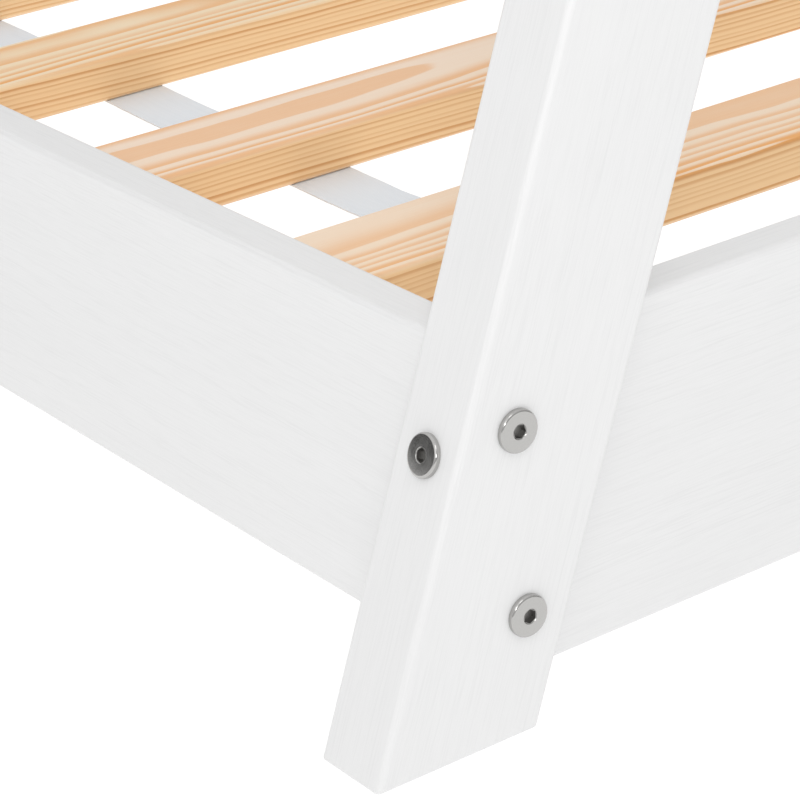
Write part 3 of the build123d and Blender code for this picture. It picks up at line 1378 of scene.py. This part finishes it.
@dataclass(frozen=True)
class WoodScrew:
    """A countersunk wood screw with a cross recess."""

    head: float = 8 * MM
    shank: float = 4 * MM
    core: float = 2.6 * MM
    head_depth: float = 2.6 * MM
    pitch: float = 1.8 * MM
    recess: float = 4.2 * MM
    recess_width: float = 1.1 * MM
    recess_depth: float = 1.9 * MM

    def build(self, length: float) -> bpy.types.Object:
        """Makes one screw, with its head's top at the origin and its head up.

        Args:
            length: Its length, head and all.

        Returns:
            A helper object for the fittings tree.
        """
        points = [(0, -length), (self.core / 4, -length + self.pitch)]
        height = self.pitch * 1.5 - length
        while height < -length / 3:
            points += [(self.shank / 2, height), (self.core / 2, height + self.pitch / 2)]
            height += self.pitch
        rim = self.head / 2
        crown = 0.15 * MM
        head = [(self.core / 2, -self.head_depth), (rim, -0.3 * MM), (rim, 0), (0, crown)]
        made = new_object("screw_pattern", mesh_of(turned(points + head, 24), "screw_pattern"))
        half, thin = self.recess / 2, self.recess_width / 2
        cut(made, [bar_cutter(x, y, -self.recess_depth, 0) for x, y in ((half, thin), (thin, half))])
        smooth_flats(made, radians(32))
        # The cross recess's points are marked, so that their colour is darkened as painted shade.
        mark_hollow(made, half + 0.05 * MM, -2 * self.recess_depth, -0.2 * MM)
        return made


@dataclass(frozen=True)
class Staple:
    """A wire staple, driven until its crown presses the tape."""

    crown: float = 10 * MM
    leg: float = 12 * MM
    wire: float = 0.9 * MM
    bend: float = 0.9 * MM

    def build(self) -> bpy.types.Object:
        """Makes one staple with its crown along X over the origin and its legs down."""
        half = self.crown / 2
        path = [(-half, -self.leg), (-half, -self.bend)]
        path += [(-half + self.bend, 0), (half - self.bend, 0)]
        path += [(half, -self.bend), (half, -self.leg)]
        curve = bpy.data.curves.new("staple_pattern", "CURVE")
        curve.dimensions = "3D"
        spline = curve.splines.new("POLY")
        spline.points.add(len(path) - 1)
        for point, (x, z) in zip(spline.points, path):
            point.co = (x, 0, z, 1)
        curve.bevel_depth = self.wire / 2
        curve.bevel_resolution = 2
        curve.use_fill_caps = True
        wire = new_object("staple_wire", curve)
        graph = bpy.context.evaluated_depsgraph_get()
        mesh = bpy.data.meshes.new_from_object(wire.evaluated_get(graph))
        drop(wire)
        shape = bmesh.new()
        shape.from_mesh(mesh)
        bmesh.ops.remove_doubles(shape, verts=shape.verts, dist=0.01 * MM)
        return new_object("staple_pattern", mesh_of(shape, "staple_pattern"))


@dataclass
class Hardware:
    """The connector bolts, their barrel nuts and the dowels of the frame."""

    plan: Plan
    tree: FittingTree
    roll: float = 2 * pi / 6
    seed: int = 7

    def set_on(
        self,
        name: str,
        pattern: bpy.types.Object,
        seats: Sequence[Seat],
        roll: float,
        finish: bpy.types.Material,
        slot: Slot,
        nodes: Sequence[str] = (),
    ) -> bpy.types.Object:
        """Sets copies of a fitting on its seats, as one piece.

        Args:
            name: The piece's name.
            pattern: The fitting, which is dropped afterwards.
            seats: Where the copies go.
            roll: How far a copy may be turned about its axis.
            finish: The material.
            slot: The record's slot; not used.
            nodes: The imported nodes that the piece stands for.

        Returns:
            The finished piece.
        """
        values = {"Fitting": pattern, "Roll": roll, "Seed": self.seed, "Finish": finish}
        made = self.tree.run(name, seats_mesh(seats), values)
        drop(pattern)
        return hand_over(made, finish, nodes)

    def joints(self) -> dict[str, list[Joint]]:
        """The joints of the frame, by the name of their kind."""
        plan = self.plan
        corners = [(end, side) for end in End for side in Side]
        return {
            "rail": [joint for corner in corners for joint in plan.rail_joints(*corner)],
            "end_board": [plan.board_joint(*corner) for corner in corners],
            "ridge": [plan.ridge_joint(end) for end in End],
        }

    def build(self, finishes: Finishes) -> None:
        """Makes every bolt, nut and dowel."""
        for kind, joints in self.joints().items():
            bolts = [Seat(joint.seat, joint.outward, joint.nut_mouth) for joint in joints]
            nuts = [Seat(joint.nut_middle(), joint.nut_mouth, joint.outward) for joint in joints]
            self.set_on(
                f"plated_{kind}_bolts", ConnectorBolt().build(joints[0].length), bolts, self.roll,
                finishes.nickel, Slot.NICKEL, [f"{kind}_bolts"],
            )
            self.set_on(
                f"plated_{kind}_barrel_nuts", BarrelNut().build(), nuts, 0.0,
                finishes.zinc, Slot.ZINC, [f"{kind}_barrel_nuts"],
            )
        dowels = [
            Seat(self.plan.dowel_middle(end, side), self.plan.across(side), X_AXIS)
            for end in End
            for side in Side
        ]
        self.set_on(
            "fluted_end_board_dowels", FlutedDowel().build(), dowels, pi,
            finishes.beech, Slot.BEECH, ["end_board_dowels"],
        )


@dataclass
class SlatBase:
    """The slats on their ledgers, with the ribbons, staples and screws that hold them."""

    hardware: Hardware
    slats: int = 12
    slat_arris: float = 2.5 * MM
    end_arris: float = 0.5 * MM
    ledger_arris: float = 1.5 * MM
    crook: float = 1.2 * MM
    pith_depth: float = 72 * MM
    pith_aside: float = 11 * MM
    pith_spread: float = 14 * MM
    log_step: float = 1.93
    tape_width: float = 32 * MM
    tape_thickness: float = 0.7 * MM
    tape_sag: float = 0.7 * MM
    tape_crease: float = 0.8 * MM
    tape_strays: tuple[float, ...] = (2 * MM, 1.5 * MM, 5 * MM, 2.5 * MM)
    staple_gap: float = 14 * MM
    crease_rate: float = 40.0
    crease_slant: float = 45.0
    crease_spread: float = 12.0
    tape_steps: int = 300
    tape_lanes: int = 8
    tape_clearance: float = 0.05 * MM
    staple_drop: float = 1.1 * MM
    staple_tilt: float = 0.25
    ledger_screw: float = 40 * MM
    slat_screw: float = 45 * MM

    def slat_box(self, index: int) -> tuple[Vector, Vector]:
        """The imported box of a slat, counted from the foot end."""
        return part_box(f"slat_{index + 1:02d}")

    def slat(self, tree: SlatTree, index: int, finishes: Finishes) -> bpy.types.Object:
        """Makes one slat.

        Args:
            tree: The tree that sweeps it.
            index: Its number from the foot end.
            finishes: The finishes of the bed.

        Returns:
            The finished piece.
        """
        low, high = self.slat_box(index)
        middle, size = (low + high) / 2, high - low
        node = f"slat_{index + 1:02d}"
        seats = bpy.data.meshes.new("seat")
        seats.from_pydata([middle], [], [])
        made = tree.run(f"planed_{node}", seats, {
            "Length": size.y, "Width": size.x, "Thickness": size.z, "Arris": self.slat_arris,
            "Crook": self.crook, "Seed": 3.7 * index, "Finish": finishes.bare,
        })
        modifier = made.modifiers.new("sawn ends", "BEVEL")
        modifier.limit_method = "ANGLE"
        modifier.angle_limit = radians(60)
        modifier.width = self.end_arris
        modifier.segments = 2
        settle(made)
        smooth_flats(made)
        self.slat_log(index).lay(made.data, middle)
        return hand_over(made, finishes.bare, [node])

    def slat_log(self, index: int) -> Log:
        """How a slat was sawn: golden section steps make each unlike the ones beside it."""
        aside = ((index * GOLDEN) % 1 - 0.5) * self.pith_spread - self.pith_aside
        depth = self.pith_depth + ((index * GOLDEN * GOLDEN) % 1) * self.pith_spread
        return Log(Y_AXIS, Z_AXIS, depth, aside, self.log_step * index)

    def ledger(self, side: Side, finishes: Finishes) -> bpy.types.Object:
        """Makes one ledger."""
        node = f"slat_ledger_{side.word}"
        log = Log(
            X_AXIS,
            Y_AXIS * -side.value,
            pith_depth=55 * MM,
            pith_aside=12 * MM,
            start=4.0 * side.value,
        )
        board = Board.from_box(f"planed_{node}", node, log, self.ledger_arris, self.end_arris)
        return board.build(finishes.bare, Slot.BARE)

    def tape_height(self, x: float, spans: Sequence[tuple[float, float]]) -> float:
        """How far the tape hangs below the slats at one X.

        Args:
            x: The place along the bed.
            spans: Start and end of each gap between slats.

        Returns:
            The sag, which is zero under a slat.
        """
        for near, far in spans:
            if near < x < far:
                share = (x - near) / (far - near)
                return self.tape_sag * 4 * share * (1 - share)
        return 0.0

    def tape_stray(self, x: float, middles: Sequence[float]) -> float:
        """How far the tape strays towards the bed's middle at one X.

        Args:
            x: The place along the bed.
            middles: Where the slats' middles lie, from the foot end.

        Returns:
            The stray, straight from one slat to the next as it was stapled by hand.
        """
        strays = [self.tape_strays[index % len(self.tape_strays)] for index in range(self.slats)]
        if x >= middles[0]:
            return strays[0]
        for near, far, before, after in zip(middles, middles[1:], strays, strays[1:]):
            if x >= far:
                return before + (after - before) * (near - x) / (near - far)
        return strays[-1]

    def tape_mesh(self, side: Side, low: Vector, high: Vector) -> bpy.types.Mesh:
        """Makes the middle surface of a ribbon, flat under the slats and slack between them.

        Args:
            side: The side of the bed.
            low: The low corner of its packed box.
            high: The high corner of that box.

        Returns:
            The surface, with each point's place on the flat tape as its grain.
        """
        boxes = [self.slat_box(index) for index in range(self.slats)]
        spans = [(after[1].x, before[0].x) for before, after in zip(boxes, boxes[1:])]
        middles = [(box[0].x + box[1].x) / 2 for box in boxes]
        steps, lanes = self.tape_steps, self.tape_lanes
        middle_y = (low.y + high.y) / 2
        shape = bmesh.new()
        rows, places = [], []
        for step in range(steps + 1):
            x = low.x + (high.x - low.x) * step / steps
            sag = self.tape_height(x, spans)
            stray = -side.value * self.tape_stray(x, middles)
            row = []
            for lane in range(lanes + 1):
                across = self.tape_width * (lane / lanes - 0.5)
                along = x * self.crease_rate + across * self.crease_slant
                place = Vector((along, across * self.crease_spread, side.value * 3.0))
                crease = noise.noise(place)
                fold = abs(crease) * sag / self.tape_sag * self.tape_crease
                z = high.z - self.tape_thickness / 2 - self.tape_clearance - sag - fold
                row.append(shape.verts.new((x, middle_y + stray + across, z)))
                places.append((x, across, 0.0))
            rows.append(row)
        for before, after in zip(rows, rows[1:]):
            for lane in range(lanes):
                shape.faces.new((before[lane], after[lane], after[lane + 1], before[lane + 1]))
        mesh = bpy.data.meshes.new("tape")
        shape.to_mesh(mesh)
        shape.free()
        attribute = mesh.attributes.new(GRAIN, "FLOAT_VECTOR", "POINT")
        for item, place in zip(attribute.data, places):
            item.vector = place
        return mesh

    def ribbon(self, side: Side, finishes: Finishes) -> bpy.types.Object:
        """Makes one ribbon."""
        node = f"slat_ribbon_{side.word}"
        low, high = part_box(node)
        made = new_object(f"woven_{node}", self.tape_mesh(side, low, high))
        modifier = made.modifiers.new("thickness", "SOLIDIFY")
        modifier.thickness = self.tape_thickness
        modifier.offset = 0.0
        settle(made)
        made.data.shade_smooth()
        made.data.set_sharp_from_angle(angle=radians(60))
        hand_over(made, finishes.tape, [node])
        return made

    def staples(self, finishes: Finishes) -> bpy.types.Object:
        """Makes the two staples that hold each ribbon to each slat."""
        seats = []
        for side in Side:
            low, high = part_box(f"slat_ribbon_{side.word}")
            for index in range(self.slats):
                slat_low, slat_high = self.slat_box(index)
                x = (slat_low.x + slat_high.x) / 2
                x = min(max(x, low.x + self.staple_gap), high.x - self.staple_gap)
                for step in (-1, 1):
                    tilt = self.staple_tilt * noise.noise(Vector((index * 1.7, step, side.value)))
                    y = (low.y + high.y) / 2 + step * self.tape_width / 4
                    z = high.z - self.staple_drop
                    middle = Vector((x + step * self.staple_gap / 2, y, z))
                    seats.append(Seat(middle, -Z_AXIS, Vector((tilt, 1, 0)).normalized()))
        return self.hardware.set_on(
            "ribbon_staples", Staple().build(), seats, 0.0, finishes.zinc, Slot.ZINC
        )

    def ledger_screws(self, finishes: Finishes) -> bpy.types.Object:
        """Makes the screws that hold the ledgers to the rails, every second gap."""
        seats = []
        for side in Side:
            low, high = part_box(f"slat_ledger_{side.word}")
            face = low.y if side is Side.RIGHT else high.y
            for index in range(0, self.slats - 1, 2):
                x = (self.slat_box(index)[0].x + self.slat_box(index + 1)[1].x) / 2
                middle = Vector((x, face, (low.z + high.z) / 2))
                seats.append(Seat(middle, Y_AXIS * -side.value, X_AXIS))
        screw = WoodScrew().build(self.ledger_screw)
        return self.hardware.set_on("ledger_screws", screw, seats, pi, finishes.zinc, Slot.ZINC)

    def slat_screws(self, finishes: Finishes) -> bpy.types.Object:
        """Makes the screws that hold the first and last slats to the ledgers."""
        seats = []
        for side in Side:
            low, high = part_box(f"slat_ledger_{side.word}")
            y = (low.y + high.y) / 2
            for index in (0, self.slats - 1):
                slat_low, slat_high = self.slat_box(index)
                middle = Vector(((slat_low.x + slat_high.x) / 2, y, slat_high.z))
                seats.append(Seat(middle, Z_AXIS, X_AXIS))
        screw = WoodScrew().build(self.slat_screw)
        return self.hardware.set_on("slat_screws", screw, seats, pi, finishes.zinc, Slot.ZINC)

    def build(self, finishes: Finishes) -> None:
        """Makes the whole base."""
        tree = SlatTree()
        for index in range(self.slats):
            self.slat(tree, index, finishes)
        for side in Side:
            self.ledger(side, finishes)
            self.ribbon(side, finishes)
        self.staples(finishes)
        self.ledger_screws(finishes)
        self.slat_screws(finishes)


@dataclass(frozen=True)
class SoftBox:
    """A square soft light.

    Attributes:
        name: Its name.
        place: Where it hangs.
        aim: The point that it looks at.
        size: Its side.
        power: Its power in watts.
        spread: The angle that its beam fills.
    """

    name: str
    place: Vector
    aim: Vector
    size: float
    power: float
    spread: float = pi

    def build(self) -> None:
        """Hangs the light."""
        data = bpy.data.lights.new(self.name, "AREA")
        data.size = self.size
        data.energy = self.power
        data.spread = self.spread
        made = new_object(self.name, data)
        turn = (self.aim - self.place).to_track_quat("-Z", "Y").to_matrix().to_4x4()
        made.matrix_world = Matrix.Translation(self.place) @ turn


@dataclass
class Studio:
    """The floor, the lights and the camera."""

    camera_place: Vector = field(default_factory=lambda: Vector((1.8414, -1.0580, 0.5835)))
    azimuth: float = radians(55.78)
    elevation: float = radians(24.08)
    roll: float = radians(-4.15)
    lens: float = 137.46
    floor_half: float = 40.0
    sky_low: float = 0.54
    sky_high: float = 1.0
    sky_tilt: float = 0.11
    dim_way: Vector = field(default_factory=lambda: Vector((0.72, 0.69, 0)))
    gap_way: Vector = field(default_factory=lambda: Vector((-0.755, -0.654, 0.04)))
    gap_half: float = radians(16)
    gap_blur: float = radians(10)
    gap_light: float = 0.1
    low_aim: Vector = field(default_factory=lambda: Vector((1.04, -0.42, 0.2)))
    high_aim: Vector = field(default_factory=lambda: Vector((1.03, -0.35, 0.55)))

    def camera(self) -> None:
        """Sets up the camera at the photograph's viewing angle."""
        data = bpy.data.cameras.new("camera")
        data.sensor_width = 36
        data.lens = self.lens
        data.clip_start = 0.05
        data.clip_end = 60
        data.dof.use_dof = False
        made = new_object("camera", data)
        flat = cos(self.elevation)
        ahead = Vector((-flat * sin(self.azimuth), flat * cos(self.azimuth), -sin(self.elevation)))
        turn = ahead.to_track_quat("-Z", "Y").to_matrix() @ Matrix.Rotation(self.roll, 3, "Z")
        made.matrix_world = Matrix.Translation(self.camera_place) @ turn.to_4x4()
        bpy.context.scene.camera = made

    def floor(self) -> None:
        """Lays the white table under the bed."""
        half = self.floor_half
        mesh = bpy.data.meshes.new("floor")
        corners = [(-half, -half, 0), (half, -half, 0), (half, half, 0), (-half, half, 0)]
        mesh.from_pydata(corners, [], [(0, 1, 2, 3)])
        mesh.materials.append(LitTable().material())
        new_object("floor", mesh)

    def sky_light(self) -> None:
        """Lights the world softly, brighter overhead and to the left, with one dark gap."""
        world = bpy.data.worlds.new("studio")
        world.use_nodes = True
        tree = world.node_tree
        tree.nodes.clear()
        way = add_node(tree, "ShaderNodeTexCoord").outputs["Generated"]
        near = add_node(tree, VECTOR_MATH, way, self.gap_way.normalized(), operation="DOT_PRODUCT")
        edges = cos(self.gap_half + self.gap_blur), cos(self.gap_half)
        height = add_node(tree, "ShaderNodeSeparateXYZ", way).outputs["Z"]
        even = add_node(tree, "ShaderNodeMapRange", height, 0.0, 1.0, self.sky_low, self.sky_high)
        aside = add_node(tree, VECTOR_MATH, way, self.dim_way, operation="DOT_PRODUCT")
        sky = add_node(tree, MATH, aside, -self.sky_tilt, even, operation="MULTIPLY_ADD")
        level = add_node(tree, "ShaderNodeMapRange", near, *edges, sky, self.gap_light)
        light = add_node(tree, "ShaderNodeBackground", (1, 1, 1, 1), level)
        add_node(tree, "ShaderNodeOutputWorld", light)
        bpy.context.scene.world = world

    def soft_boxes(self) -> list[SoftBox]:
        """The lights that shape the corner: one from the end, one near the leg, one aside."""
        low, high = self.low_aim, self.high_aim
        return [
            SoftBox("key_box", Vector((2.05, -1.15, 0.7)), low, 0.25, 2.6),
            SoftBox("near_box", Vector((1.5, -0.6, 1.0)), high, 0.35, 0.7),
            SoftBox("side_box", Vector((1.45, -1.3, 1.1)), high, 0.8, 0.4, radians(90)),
        ]

    def build(self) -> None:
        """Sets up the whole studio."""
        bpy.context.scene.view_settings.view_transform = "Standard"
        self.camera()
        self.floor()
        self.sky_light()
        for box in self.soft_boxes():
            box.build()


def main() -> None:
    """Builds the studio and every sub-assembly, in order."""
    logging.basicConfig(level=logging.INFO, format="%(name)s: %(message)s")
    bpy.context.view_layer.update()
    Studio().build()
    finishes = Finishes.mixed()
    plan = Plan()
    for end in End:
        GableEnd(plan, end).build(finishes)
    LongTimbers(plan).build(finishes)
    hardware = Hardware(plan, FittingTree())
    hardware.build(finishes)
    SlatBase(hardware).build(finishes)


if __name__ == "__main__":
    main()
